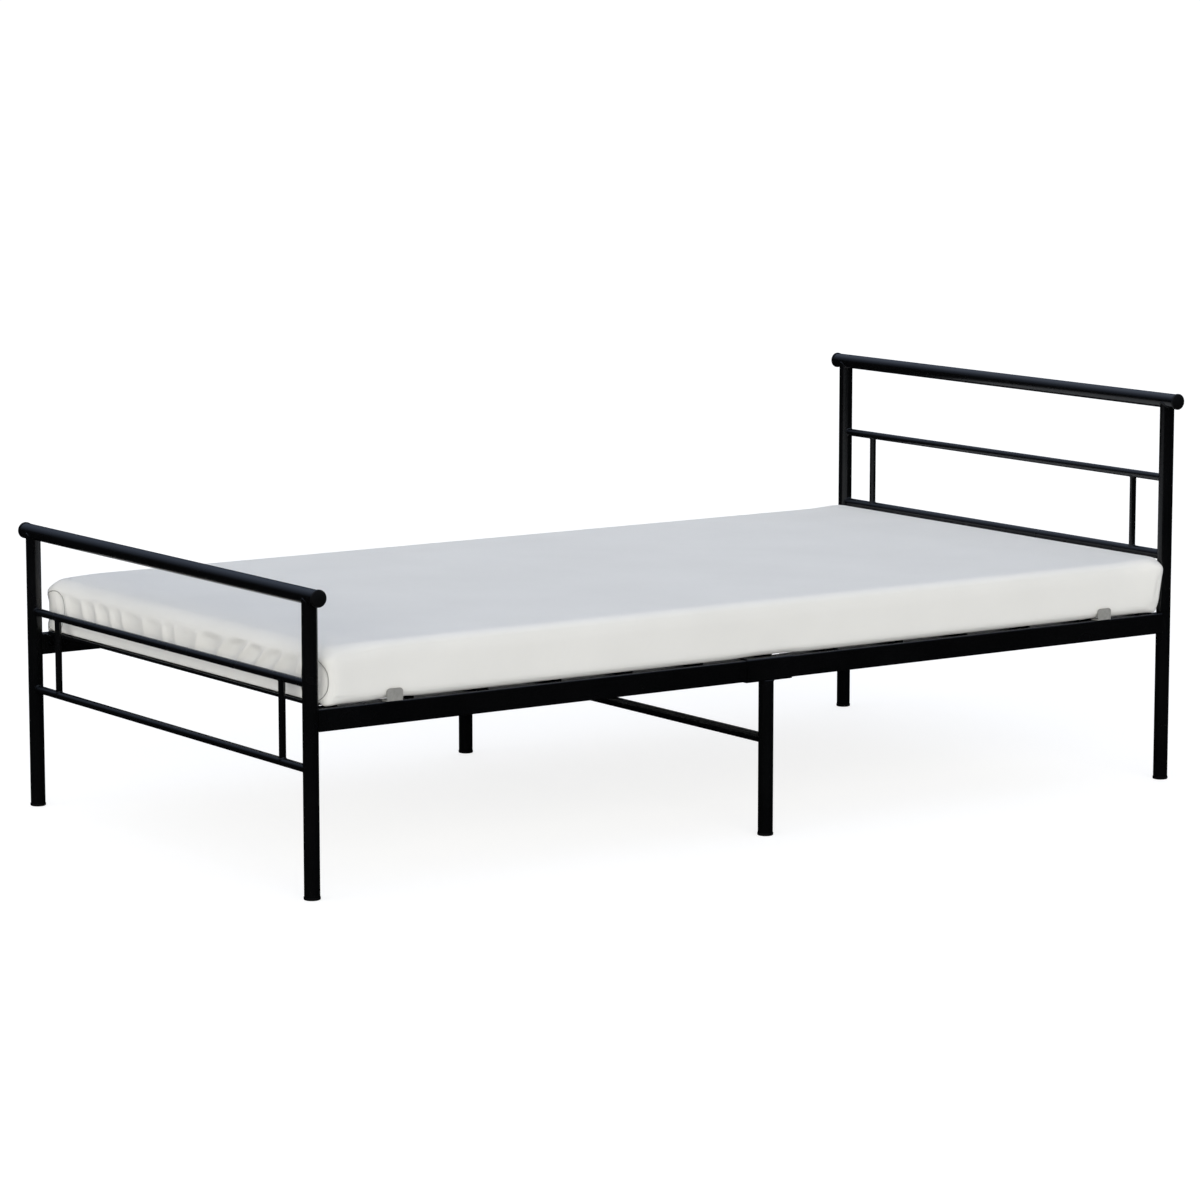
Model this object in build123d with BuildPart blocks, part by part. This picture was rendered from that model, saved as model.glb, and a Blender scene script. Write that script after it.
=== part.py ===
from build123d import *
import os

# Metal bed frame with a thin mattress, in millimetres.
# +Z is up, +Y points to the headboard and +X to the sleeper's right when seen from the foot end.
# The origin is on the floor, under the middle of the bed.

# ---- Driving dimensions ----
POST_X = 507.5            # post axes from the middle, across the bed
POST_Y = 971.5            # post axes from the middle, along the bed
HEAD_TOP_Z = 747.5        # axis of the headboard's top rail
HEAD_UPPER_Z = 596.0      # axis of the headboard's upper crossbar
HEAD_LOWER_Z = 444.5      # axis of the headboard's lower crossbar
FOOT_TOP_Z = 526.0        # axis of the footboard's top rail
FOOT_UPPER_Z = 374.5      # axis of the footboard's upper crossbar
FOOT_LOWER_Z = 226.0      # axis of the footboard's lower crossbar

POST_D = 28.0             # posts, centre legs and centre strut
TOP_RAIL_D = 28.6
BAR_D = 15.0              # ordinary crossbar
THICK_BAR_D = 19.0        # headboard's lower crossbar and the centre crossbar
SPINDLE_D = 12.7
TUBE_WALL = 1.5
THIN_WALL = 1.2           # crossbars and spindles
SPINDLE_INSET = 95.0      # spindle axis from the post axis
TOP_RAIL_OVERHANG = 28.0  # cut end of the top rail from the post axis

CAP_D = 31.0              # domed end cap of a top rail
CAP_RIM_T = 4.0
CAP_DOME_H = 2.6
CAP_PLUG_L = 16.0
CAP_WALL = 2.0
CAP_EDGE_R = 1.4
CAP_SHOULDER = 0.75       # share of the dome's height left at half its radius

GLIDE_D = 29.6            # floor glide under a post
GLIDE_RIM_H = 5.0
GLIDE_ROUND = 1.8
GLIDE_PLUG_H = 20.0
GLIDE_WALL = 2.0
PLUG_CLEARANCE = 0.2      # radial room between a plug and its tube
COPE_L = 112.0            # cutter that copes a tube's end, longer than any tube is wide
DRILL_L = 10.0            # drill through one wall, half of it on each side of the face

RAIL_H = 40.0             # side rail section
RAIL_W = 20.0
RAIL_WALL = 1.5
RAIL_CORNER_R = 2.5
MIN_INNER_R = 0.4         # smallest rounding inside a rectangular tube
RAIL_BOTTOM_Z = 291.5
RAIL_GAP = 1.0            # between the two halves of a rail
POST_CLEARANCE = 0.3      # between a rail's saddle end and the post

SLEEVE_L = 102.0          # joint sleeve over the two rail halves
SLEEVE_WALL = 2.0
SLEEVE_CLEARANCE = 0.2

STUB_L = 75.0             # welded stub inside the end of a rail, from the post axis
STUB_WALL = 3.0
STUB_CLEARANCE = 0.3
STUB_CORNER_R = 1.0

LEDGE_W = 20.0            # strip welded along a rail's inner face
LEDGE_T = 3.0
LEDGE_END_Y = 955.0
LEDGE_GAP = 1.0           # between a ledge and the sleeve

SLAT_W = 38.0
SLAT_T = 6.0
SLAT_SHEET = 1.2
SLAT_BOTTOM_Z = 330.0
SLAT_PITCH = 155.0
SLATS_PER_HALF = 6
SLAT_END_GAP = 1.0        # between a slat's end and the rail

BEAM_W = 40.0             # centre beam, along the bed
BEAM_H = 20.0
CENTRE_BAR_Z = 180.5      # axis of the crossbar between the centre legs

RETAINER_W = 32.0
RETAINER_Y = 808.5
RETAINER_T = 2.5
RETAINER_H = 22.5
RETAINER_FOOT = 20.0
RETAINER_CORNER_R = 6.0
RETAINER_BEND_R = 1.6

BOLT_D = 6.0              # rail bolts
BOLT_L = 12.0
BOLT_HEAD_D = 10.5
BOLT_HEAD_H = 3.3
BOLT_CROWN_R = 2.0        # rounding of the button head
BOLT_SOCKET_AF = 4.0
BOLT_SOCKET_DEPTH = 2.0
HOLE_ROOM = 0.15          # radial room of a shank in its hole
STUB_BOLT_Y = (28.0, 56.0)    # bolt axes from the post axis
SLEEVE_BOLT_Y = (30.0, 42.0)  # bolt axes from the middle of the sleeve

SCREW_D = 5.0             # slat and retainer screws
SLAT_SCREW_X = 487.0
SLAT_SCREW_HEAD_D = 9.0
SLAT_SCREW_HEAD_H = 2.8
SLAT_SCREW_L = 7.6
NUT_AF = 8.0
NUT_H = 2.6
RETAINER_SCREW_HEAD_D = 9.0
RETAINER_SCREW_L = 10.0

MATTRESS_HALF_W = 514.0
MATTRESS_FOOT_Y = -942.0
MATTRESS_HEAD_Y = 955.5
MATTRESS_T = 102.0
MATTRESS_CORNER_R = 26.0
MATTRESS_EDGE_R = 16.0
MATTRESS_GAP = 0.4        # between the mattress and the slats
MATTRESS_COVER_T = 7.0    # padded cover; the light core inside is left hollow

# ---- Derived places ----
POST_R = POST_D / 2
TOP_RAIL_R = TOP_RAIL_D / 2
TUBE_END_X = POST_X + TOP_RAIL_OVERHANG
RAIL_TOP_Z = RAIL_BOTTOM_Z + RAIL_H
RAIL_MID_Z = RAIL_BOTTOM_Z + RAIL_H / 2
RAIL_INNER_X = POST_X - RAIL_W / 2
RAIL_OUTER_X = POST_X + RAIL_W / 2
SLEEVE_W = RAIL_W + 2 * (SLEEVE_WALL + SLEEVE_CLEARANCE)
SLEEVE_H = RAIL_H + 2 * (SLEEVE_WALL + SLEEVE_CLEARANCE)
SLEEVE_INNER_X = POST_X - SLEEVE_W / 2
SLEEVE_BOTTOM_Z = RAIL_MID_Z - SLEEVE_H / 2
SLAT_TOP_Z = SLAT_BOTTOM_Z + SLAT_T
BEAM_BOTTOM_Z = SLAT_TOP_Z - BEAM_H
MATTRESS_BOTTOM_Z = SLAT_TOP_Z + MATTRESS_GAP
SLAT_ROWS = [s * SLAT_PITCH * n for s in (-1, 1) for n in range(1, SLATS_PER_HALF + 1)]
SLAT_SCREWS = [(s * SLAT_SCREW_X, y) for y in SLAT_ROWS for s in (-1, 1)]

SIDES = {"left": -1, "right": 1}
ENDS = {"foot": -1, "head": 1}

os.makedirs("parts", exist_ok=True)


def save(piece, name):
    """Labels a finished piece and writes it as one STEP file."""
    piece.part.label = name
    export_step(piece.part, f"parts/{name}.step")


def along_x(x, y, z):
    """Place for a cylinder whose axis lies across the bed."""
    return Location((x, y, z), (0, 90, 0))


# ---- Upright tubes ----
def make_upright(name, x, y, top_z, saddle=None):
    """Post or leg. A saddle is the place and radius of the tube that its top fits around."""
    with BuildPart() as upright:
        with BuildSketch(Plane.XY.offset(GLIDE_RIM_H)):
            with Locations((x, y)):
                Circle(POST_R)
                Circle(POST_R - TUBE_WALL, mode=Mode.SUBTRACT)
        extrude(amount=top_z - GLIDE_RIM_H)
        if saddle:
            place, radius = saddle
            with Locations(place):
                Cylinder(radius, COPE_L, mode=Mode.SUBTRACT)
    save(upright, name)


def make_glide(name, x, y):
    """Plastic floor glide: a rounded rim under the tube and a hollow plug inside it."""
    plug_r = POST_R - TUBE_WALL - PLUG_CLEARANCE
    with BuildPart() as glide:
        with BuildSketch(Plane.XY):
            with Locations((x, y)):
                Circle(GLIDE_D / 2)
        extrude(amount=GLIDE_RIM_H)
        fillet(glide.edges().sort_by(Axis.Z)[0], GLIDE_ROUND)
        with BuildSketch(Plane.XY.offset(GLIDE_RIM_H)):
            with Locations((x, y)):
                Circle(plug_r)
                Circle(plug_r - GLIDE_WALL, mode=Mode.SUBTRACT)
        extrude(amount=GLIDE_PLUG_H)
    save(glide, name)


# ---- Tubes across the bed ----
def make_top_rail(name, y, z):
    with BuildPart() as rail:
        with BuildSketch(Plane.YZ.offset(-TUBE_END_X)):
            with Locations((y, z)):
                Circle(TOP_RAIL_R)
                Circle(TOP_RAIL_R - TUBE_WALL, mode=Mode.SUBTRACT)
        extrude(amount=2 * TUBE_END_X)
    save(rail, name)


def make_crossbar(name, y, z, diameter):
    """Round bar between two uprights, cut at both ends to fit around them."""
    with BuildPart() as bar:
        with BuildSketch(Plane.YZ.offset(-POST_X)):
            with Locations((y, z)):
                Circle(diameter / 2)
                Circle(diameter / 2 - THIN_WALL, mode=Mode.SUBTRACT)
        extrude(amount=2 * POST_X)
        with Locations((-POST_X, y, z), (POST_X, y, z)):
            Cylinder(POST_R, COPE_L, mode=Mode.SUBTRACT)
    save(bar, name)


def make_spindle(name, x, y, lower, upper):
    """Short upright between two crossbars, each given as axis height and diameter."""
    lower_z, lower_d = lower
    upper_z, upper_d = upper
    with BuildPart() as spindle:
        with BuildSketch(Plane.XY.offset(lower_z)):
            with Locations((x, y)):
                Circle(SPINDLE_D / 2)
                Circle(SPINDLE_D / 2 - THIN_WALL, mode=Mode.SUBTRACT)
        extrude(amount=upper_z - lower_z)
        with Locations(along_x(x, y, lower_z)):
            Cylinder(lower_d / 2, COPE_L, mode=Mode.SUBTRACT)
        with Locations(along_x(x, y, upper_z)):
            Cylinder(upper_d / 2, COPE_L, mode=Mode.SUBTRACT)
    save(spindle, name)


def make_rail_cap(name, side, y, z):
    """Domed plastic cap in the open end of a top rail, turned about the rail's axis."""
    plug_r = TOP_RAIL_R - TUBE_WALL - PLUG_CLEARANCE
    face = Plane(origin=(side * TUBE_END_X, y, z), x_dir=(side, 0, 0), z_dir=(0, 1, 0))
    with BuildPart() as cap:
        with BuildSketch(face) as profile:
            with BuildLine():
                ThreePointArc(
                    (CAP_RIM_T + CAP_DOME_H, 0),
                    (CAP_RIM_T + CAP_SHOULDER * CAP_DOME_H, CAP_D / 4),
                    (CAP_RIM_T, CAP_D / 2),
                )
                Polyline(
                    (CAP_RIM_T, CAP_D / 2),
                    (0, CAP_D / 2),
                    (0, plug_r),
                    (-CAP_PLUG_L, plug_r),
                    (-CAP_PLUG_L, plug_r - CAP_WALL),
                    (CAP_WALL, plug_r - CAP_WALL),
                    (CAP_WALL, 0),
                    (CAP_RIM_T + CAP_DOME_H, 0),
                )
            make_face()
            rim_corner = profile.vertices().sort_by_distance((CAP_RIM_T, CAP_D / 2))[0]
            fillet(rim_corner, CAP_EDGE_R)
        revolve(axis=Axis((side * TUBE_END_X, y, z), (side, 0, 0)))
    save(cap, name)


# ---- Side rails, their stubs and ledges ----
def rail_section(x, width, height, wall, corner_r):
    """Rectangular tube section in a sketch plane that stands across the bed."""
    with Locations((x, RAIL_MID_Z)):
        RectangleRounded(width, height, corner_r)
        inner_r = max(corner_r - wall, MIN_INNER_R)
        RectangleRounded(width - 2 * wall, height - 2 * wall, inner_r, mode=Mode.SUBTRACT)


def drill_inner_face(x, places_y):
    """Bolt holes through the wall that faces the middle of the bed."""
    with Locations(*[along_x(x, y, RAIL_MID_Z) for y in places_y]):
        Cylinder(BOLT_D / 2 + HOLE_ROOM, DRILL_L, mode=Mode.SUBTRACT)


def make_side_rail(name, side, end):
    """One half of a side rail. Plane.XZ faces -Y, so a positive offset moves towards the foot end."""
    near, far = RAIL_GAP / 2, POST_Y
    stub_holes = [end * (POST_Y - d) for d in STUB_BOLT_Y]
    sleeve_holes = [end * d for d in SLEEVE_BOLT_Y]
    with BuildPart() as rail:
        with BuildSketch(Plane.XZ.offset(-end * near)):
            rail_section(side * POST_X, RAIL_W, RAIL_H, RAIL_WALL, RAIL_CORNER_R)
        extrude(amount=-end * (far - near))
        with Locations((side * POST_X, end * POST_Y, RAIL_MID_Z)):
            Cylinder(POST_R + POST_CLEARANCE, COPE_L, mode=Mode.SUBTRACT)
        drill_inner_face(side * RAIL_INNER_X, stub_holes + sleeve_holes)
        with Locations((side * POST_X, end * RETAINER_Y, RAIL_TOP_Z)):
            Cylinder(SCREW_D / 2 + HOLE_ROOM, DRILL_L, mode=Mode.SUBTRACT)
    save(rail, name)


def make_ledge(name, side, end):
    """Flat strip that carries the slat ends."""
    start_y = SLEEVE_L / 2 + LEDGE_GAP
    length = LEDGE_END_Y - start_y
    screw_y = [y for y in SLAT_ROWS if y * end > 0]
    with BuildPart() as ledge:
        with BuildSketch(Plane.XY.offset(SLAT_BOTTOM_Z - LEDGE_T)):
            with Locations((side * (RAIL_INNER_X - LEDGE_W / 2), end * (start_y + length / 2))):
                Rectangle(LEDGE_W, length)
            with Locations(*[(side * SLAT_SCREW_X, y) for y in screw_y]):
                Circle(SCREW_D / 2 + HOLE_ROOM, mode=Mode.SUBTRACT)
        extrude(amount=LEDGE_T)
    save(ledge, name)


def make_rail_stubs():
    """Four short tubes welded to the posts, one inside the outer end of each rail half."""
    width = RAIL_W - 2 * (RAIL_WALL + STUB_CLEARANCE)
    height = RAIL_H - 2 * (RAIL_WALL + STUB_CLEARANCE)
    with BuildPart() as stubs:
        for side in SIDES.values():
            for end in ENDS.values():
                with BuildSketch(Plane.XZ.offset(-end * (POST_Y - STUB_L))):
                    rail_section(side * POST_X, width, height, STUB_WALL, STUB_CORNER_R)
                extrude(amount=-end * STUB_L)
                with Locations((side * POST_X, end * POST_Y, RAIL_MID_Z)):
                    Cylinder(POST_R, COPE_L, mode=Mode.SUBTRACT)
                holes = [end * (POST_Y - d) for d in STUB_BOLT_Y]
                drill_inner_face(side * RAIL_INNER_X, holes)
    save(stubs, "rail_stubs")


# ---- Centre support ----
def make_centre_sleeve(name, side):
    holes = [s * d for s in (-1, 1) for d in SLEEVE_BOLT_Y]
    with BuildPart() as sleeve:
        with BuildSketch(Plane.XZ.offset(-SLEEVE_L / 2)):
            rail_section(side * POST_X, SLEEVE_W, SLEEVE_H, SLEEVE_WALL, RAIL_CORNER_R + SLEEVE_WALL)
        extrude(amount=SLEEVE_L)
        drill_inner_face(side * SLEEVE_INNER_X, holes)
    save(sleeve, name)


def make_centre_beam():
    """Rectangular tube between the two sleeves, level with the slats."""
    with BuildPart() as beam:
        with BuildSketch(Plane.YZ.offset(-SLEEVE_INNER_X)):
            with Locations((0, BEAM_BOTTOM_Z + BEAM_H / 2)):
                RectangleRounded(BEAM_W, BEAM_H, RAIL_CORNER_R)
                RectangleRounded(
                    BEAM_W - 2 * RAIL_WALL,
                    BEAM_H - 2 * RAIL_WALL,
                    RAIL_CORNER_R - RAIL_WALL,
                    mode=Mode.SUBTRACT,
                )
        extrude(amount=2 * SLEEVE_INNER_X)
    save(beam, "centre_beam")


def make_centre_strut():
    """Tube that stands astride the centre crossbar and carries the middle of the beam."""
    with BuildPart() as strut:
        with BuildSketch(Plane.XY.offset(CENTRE_BAR_Z)):
            Circle(POST_R)
            Circle(POST_R - TUBE_WALL, mode=Mode.SUBTRACT)
        extrude(amount=BEAM_BOTTOM_Z - CENTRE_BAR_Z)
        with Locations(along_x(0, 0, CENTRE_BAR_Z)):
            Cylinder(THICK_BAR_D / 2, COPE_L, mode=Mode.SUBTRACT)
    save(strut, "centre_strut")


# ---- Slats ----
def make_slat(name, y):
    """Pressed steel strip: a shallow channel, open below."""
    half_l = RAIL_INNER_X - SLAT_END_GAP
    with BuildPart() as slat:
        with BuildSketch(Plane.YZ.offset(-half_l)):
            with Locations((y, SLAT_BOTTOM_Z + SLAT_T / 2)):
                Rectangle(SLAT_W, SLAT_T)
            with Locations((y, SLAT_BOTTOM_Z + (SLAT_T - SLAT_SHEET) / 2)):
                Rectangle(SLAT_W - 2 * SLAT_SHEET, SLAT_T - SLAT_SHEET, mode=Mode.SUBTRACT)
        extrude(amount=2 * half_l)
        upper_edges = slat.edges().filter_by(Axis.X).group_by(Axis.Z)[-1]
        fillet(upper_edges, SLAT_SHEET)
    save(slat, name)


# ---- Mattress retainers ----
def make_retainer(name, side, end):
    """L-shaped bracket: a foot on top of the rail and a rounded tab at its outer side."""
    y = end * RETAINER_Y
    outer_x = side * (RAIL_OUTER_X + RETAINER_T)
    foot_x = side * (RAIL_OUTER_X + RETAINER_T - RETAINER_FOOT / 2)
    with BuildPart() as retainer:
        with BuildSketch(Plane.XY.offset(RAIL_TOP_Z)):
            with Locations((foot_x, y)):
                Rectangle(RETAINER_FOOT, RETAINER_W)
        extrude(amount=RETAINER_T)
        with BuildSketch(Plane.YZ.offset(outer_x)) as tab:
            with Locations((y, RAIL_TOP_Z + RETAINER_H / 2)):
                Rectangle(RETAINER_W, RETAINER_H)
            fillet(tab.vertices().group_by(Axis.Z)[-1], RETAINER_CORNER_R)
        extrude(amount=-side * RETAINER_T)
        bend = retainer.edges().filter_by(Axis.Y).group_by(Axis.Z)[0]
        fillet(bend.sort_by(Axis.X)[-1 if side > 0 else 0], RETAINER_BEND_R)
        with Locations((side * POST_X, y, RAIL_TOP_Z + RETAINER_T)):
            CounterSinkHole(SCREW_D / 2 + HOLE_ROOM, RETAINER_SCREW_HEAD_D / 2 + HOLE_ROOM)
    save(retainer, name)


# ---- Fasteners, each kind as a group of separate solids ----
def make_rail_bolts():
    """Button-head bolts, put in from the middle of the bed so that the outer faces stay clean."""
    heads = []
    for side in SIDES.values():
        for end in ENDS.values():
            heads += [(side, RAIL_INNER_X, end * (POST_Y - d)) for d in STUB_BOLT_Y]
            heads += [(side, SLEEVE_INNER_X, end * d) for d in SLEEVE_BOLT_Y]
    with BuildPart() as bolts:
        for side, face_x, y in heads:
            seat = Plane(origin=(side * face_x, y, RAIL_MID_Z), x_dir=(0, 1, 0), z_dir=(-side, 0, 0))
            with BuildSketch(seat):
                Circle(BOLT_HEAD_D / 2)
            head = extrude(amount=BOLT_HEAD_H)
            crown = head.edges().filter_by(GeomType.CIRCLE).sort_by(Axis.X)[0 if side > 0 else -1]
            fillet(crown, BOLT_CROWN_R)
            with BuildSketch(seat):
                Circle(BOLT_D / 2)
            extrude(amount=-BOLT_L)
            with BuildSketch(seat.offset(BOLT_HEAD_H)):
                RegularPolygon(BOLT_SOCKET_AF / 2, 6, major_radius=False)
            extrude(amount=-BOLT_SOCKET_DEPTH, mode=Mode.SUBTRACT)
    save(bolts, "rail_bolts")


def make_slat_screws():
    """Screws up through the ledges, each with a nut inside the slat."""
    ledge_bottom = SLAT_BOTTOM_Z - LEDGE_T
    with BuildPart() as screws:
        with BuildSketch(Plane.XY.offset(ledge_bottom)):
            with Locations(*SLAT_SCREWS):
                Circle(SLAT_SCREW_HEAD_D / 2)
        extrude(amount=-SLAT_SCREW_HEAD_H)
        with BuildSketch(Plane.XY.offset(ledge_bottom)):
            with Locations(*SLAT_SCREWS):
                Circle(SCREW_D / 2)
        extrude(amount=SLAT_SCREW_L)
        with BuildSketch(Plane.XY.offset(SLAT_BOTTOM_Z)):
            with Locations(*SLAT_SCREWS):
                RegularPolygon(NUT_AF / 2, 6, major_radius=False)
        extrude(amount=NUT_H)
    save(screws, "slat_screws")


def make_retainer_screws():
    """Countersunk screws through the retainers' feet into the tops of the rails."""
    head_z = RAIL_TOP_Z + RETAINER_T
    places = [(sx * POST_X, ey * RETAINER_Y) for sx in SIDES.values() for ey in ENDS.values()]
    head_h = (RETAINER_SCREW_HEAD_D - SCREW_D) / 2
    with BuildPart() as screws:
        for x, y in places:
            with BuildSketch(Plane.XY.offset(head_z)):
                with Locations((x, y)):
                    Circle(RETAINER_SCREW_HEAD_D / 2)
            with BuildSketch(Plane.XY.offset(head_z - head_h)):
                with Locations((x, y)):
                    Circle(SCREW_D / 2)
            loft()
            with BuildSketch(Plane.XY.offset(head_z - head_h)):
                with Locations((x, y)):
                    Circle(SCREW_D / 2)
            extrude(amount=-(RETAINER_SCREW_L - head_h))
    save(screws, "retainer_screws")


# ---- Mattress ----
def make_mattress():
    """Plain closed shell of the mattress's outer size. It is hollow, to weigh what a light core does."""
    length = MATTRESS_HEAD_Y - MATTRESS_FOOT_Y
    middle_y = (MATTRESS_HEAD_Y + MATTRESS_FOOT_Y) / 2
    core_w = 2 * (MATTRESS_HALF_W - MATTRESS_COVER_T)
    core_l = length - 2 * MATTRESS_COVER_T
    with BuildPart() as mattress:
        with BuildSketch(Plane.XY.offset(MATTRESS_BOTTOM_Z)):
            with Locations((0, middle_y)):
                RectangleRounded(2 * MATTRESS_HALF_W, length, MATTRESS_CORNER_R)
        extrude(amount=MATTRESS_T)
        rims = mattress.edges().group_by(Axis.Z)
        fillet(rims[0] + rims[-1], MATTRESS_EDGE_R)
        with BuildSketch(Plane.XY.offset(MATTRESS_BOTTOM_Z + MATTRESS_COVER_T)):
            with Locations((0, middle_y)):
                RectangleRounded(core_w, core_l, MATTRESS_CORNER_R)
        extrude(amount=MATTRESS_T - 2 * MATTRESS_COVER_T, mode=Mode.SUBTRACT)
    save(mattress, "mattress")


# ---- The whole bed ----
BOARDS = {
    "foot": (FOOT_TOP_Z, (FOOT_LOWER_Z, BAR_D), (FOOT_UPPER_Z, BAR_D)),
    "head": (HEAD_TOP_Z, (HEAD_LOWER_Z, THICK_BAR_D), (HEAD_UPPER_Z, BAR_D)),
}
for end_name, (top_z, lower_bar, upper_bar) in BOARDS.items():
    board_y = ENDS[end_name] * POST_Y
    make_top_rail(f"{end_name}_top_rail", board_y, top_z)
    make_crossbar(f"{end_name}_lower_crossbar", board_y, *lower_bar)
    make_crossbar(f"{end_name}_upper_crossbar", board_y, *upper_bar)
    for side_name, side_sign in SIDES.items():
        post_x = side_sign * POST_X
        post_saddle = (along_x(post_x, board_y, top_z), TOP_RAIL_R)
        make_upright(f"{end_name}_post_{side_name}", post_x, board_y, top_z, post_saddle)
        make_glide(f"{end_name}_glide_{side_name}", post_x, board_y)
        make_rail_cap(f"{end_name}_rail_cap_{side_name}", side_sign, board_y, top_z)
        spindle_x = side_sign * (POST_X - SPINDLE_INSET)
        make_spindle(f"{end_name}_spindle_{side_name}", spindle_x, board_y, lower_bar, upper_bar)
        make_side_rail(f"side_rail_{end_name}_{side_name}", side_sign, ENDS[end_name])
        make_ledge(f"slat_ledge_{end_name}_{side_name}", side_sign, ENDS[end_name])
        make_retainer(f"retainer_{end_name}_{side_name}", side_sign, ENDS[end_name])

for side_name, side_sign in SIDES.items():
    make_centre_sleeve(f"centre_sleeve_{side_name}", side_sign)
    make_upright(f"centre_leg_{side_name}", side_sign * POST_X, 0, SLEEVE_BOTTOM_Z)
    make_glide(f"centre_glide_{side_name}", side_sign * POST_X, 0)

make_crossbar("centre_crossbar", 0, CENTRE_BAR_Z, THICK_BAR_D)
make_centre_beam()
make_centre_strut()
make_rail_stubs()

for number, slat_y in enumerate(sorted(SLAT_ROWS), start=1):
    make_slat(f"slat_{number:02d}", slat_y)

make_rail_bolts()
make_slat_screws()
make_retainer_screws()
make_mattress()
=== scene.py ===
import math

import bmesh
import bpy
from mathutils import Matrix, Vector, noise
from mathutils.bvhtree import BVHTree


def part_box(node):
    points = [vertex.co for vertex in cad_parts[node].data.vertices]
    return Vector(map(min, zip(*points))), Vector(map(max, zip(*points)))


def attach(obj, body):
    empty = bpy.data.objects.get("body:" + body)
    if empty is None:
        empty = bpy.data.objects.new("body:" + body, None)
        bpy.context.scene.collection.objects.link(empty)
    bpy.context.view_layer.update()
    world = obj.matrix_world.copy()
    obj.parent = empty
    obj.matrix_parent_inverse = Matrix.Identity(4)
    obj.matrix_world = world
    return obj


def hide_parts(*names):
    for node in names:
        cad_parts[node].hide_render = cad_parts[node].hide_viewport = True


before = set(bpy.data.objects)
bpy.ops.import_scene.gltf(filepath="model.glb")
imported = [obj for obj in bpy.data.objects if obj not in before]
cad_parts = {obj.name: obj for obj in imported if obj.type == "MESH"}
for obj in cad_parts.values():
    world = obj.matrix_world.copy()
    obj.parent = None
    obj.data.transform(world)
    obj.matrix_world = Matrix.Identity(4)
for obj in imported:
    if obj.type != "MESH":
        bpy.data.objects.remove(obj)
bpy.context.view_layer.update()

# Looks of a black metal bed frame with a thin white foam mattress. Lengths are in metres.
MM = 0.001
X, Y, Z = Vector((1, 0, 0)), Vector((0, 1, 0)), Vector((0, 0, 1))
ENDS = ("foot", "head")
SIDES = ("left", "right")
BOXES = {name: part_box(name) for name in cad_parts}


# ---- Small helpers ----
def middle(node):
    """Middle of a CAD node's box."""
    low, high = BOXES[node]
    return (low + high) / 2


def half(node, axis):
    """Half of a CAD node's size along one axis, which is a tube's radius across its length."""
    low, high = BOXES[node]
    return (high[axis] - low[axis]) / 2


def ease(value):
    """Smooth step from 0 to 1."""
    value = min(1.0, max(0.0, value))
    return value * value * (3 - 2 * value)


def bump_at(value, centre, width):
    """A smooth hump of height 1 round centre."""
    return math.exp(-(((value - centre) / width) ** 2))


def mesh_object(name, bm, material, smooth=True):
    """Turns a bmesh into an object with one material."""
    bmesh.ops.recalc_face_normals(bm, faces=bm.faces)
    mesh = bpy.data.meshes.new(name)
    bm.to_mesh(mesh)
    bm.free()
    mesh.materials.append(material)
    for polygon in mesh.polygons:
        polygon.use_smooth = smooth
    piece = bpy.data.objects.new(name, mesh)
    bpy.context.scene.collection.objects.link(piece)
    return piece


# ---- Materials ----
def new_material(name, values):
    """Material with one Principled shader, its fixed values set on the shader's own sockets."""
    material = bpy.data.materials.new(name)
    material.use_nodes = True
    shader = material.node_tree.nodes["Principled BSDF"]
    for socket, value in values.items():
        shader.inputs[socket].default_value = value
    return material, shader


def add_node(tree, kind, inputs, **settings):
    """Adds a shader node. An input is a plain value or another node's output."""
    made = tree.nodes.new(kind)
    for key, value in settings.items():
        setattr(made, key, value)
    for key, value in inputs.items():
        if isinstance(value, bpy.types.NodeSocket):
            tree.links.new(value, made.inputs[key])
        else:
            made.inputs[key].default_value = value
    return made


def object_place(tree):
    """Position on the piece itself, in metres, so that a pattern stays put when the piece moves."""
    return add_node(tree, "ShaderNodeTexCoord", {}).outputs["Object"]


def noise_value(tree, scale, detail=2.0, roughness=0.5):
    inputs = {"Vector": object_place(tree), "Scale": scale, "Detail": detail, "Roughness": roughness}
    return add_node(tree, "ShaderNodeTexNoise", inputs).outputs["Fac"]


def spread(tree, value, low, high, start=0.3, stop=0.7):
    """Stretches a noise value from start..stop to low..high."""
    inputs = {"Value": value, "From Min": start, "From Max": stop, "To Min": low, "To Max": high}
    return add_node(tree, "ShaderNodeMapRange", inputs).outputs["Result"]


def two_tones(tree, value, first, second, start=0.3, stop=0.7):
    ramp = add_node(tree, "ShaderNodeValToRGB", {"Fac": value})
    ramp.color_ramp.elements[0].position = start
    ramp.color_ramp.elements[0].color = (*first, 1)
    ramp.color_ramp.elements[1].position = stop
    ramp.color_ramp.elements[1].color = (*second, 1)
    return ramp.outputs["Color"]


def add_bump(tree, height, distance, strength, below=None):
    inputs = {"Height": height, "Distance": distance, "Strength": strength}
    if below is not None:
        inputs["Normal"] = below
    return add_node(tree, "ShaderNodeBump", inputs).outputs["Normal"]


def powder_coat():
    """Black powder coat: fine orange peel, slow changes of gloss and a trace of dust."""
    material, shader = new_material("black_powder_coat", {"Specular IOR Level": 0.45})
    tree = material.node_tree
    link = tree.links.new
    tone = two_tones(tree, noise_value(tree, 9, 3), (0.0010, 0.0011, 0.0013), (0.0019, 0.0020, 0.0023))
    link(tone, shader.inputs["Base Color"])
    link(spread(tree, noise_value(tree, 5, 4), 0.22, 0.30), shader.inputs["Roughness"])
    waves = add_bump(tree, noise_value(tree, 260, 1), 0.00018, 0.22)
    peel = add_bump(tree, noise_value(tree, 900, 2, 0.6), 0.0001, 0.35, waves)
    link(peel, shader.inputs["Normal"])
    return material


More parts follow.
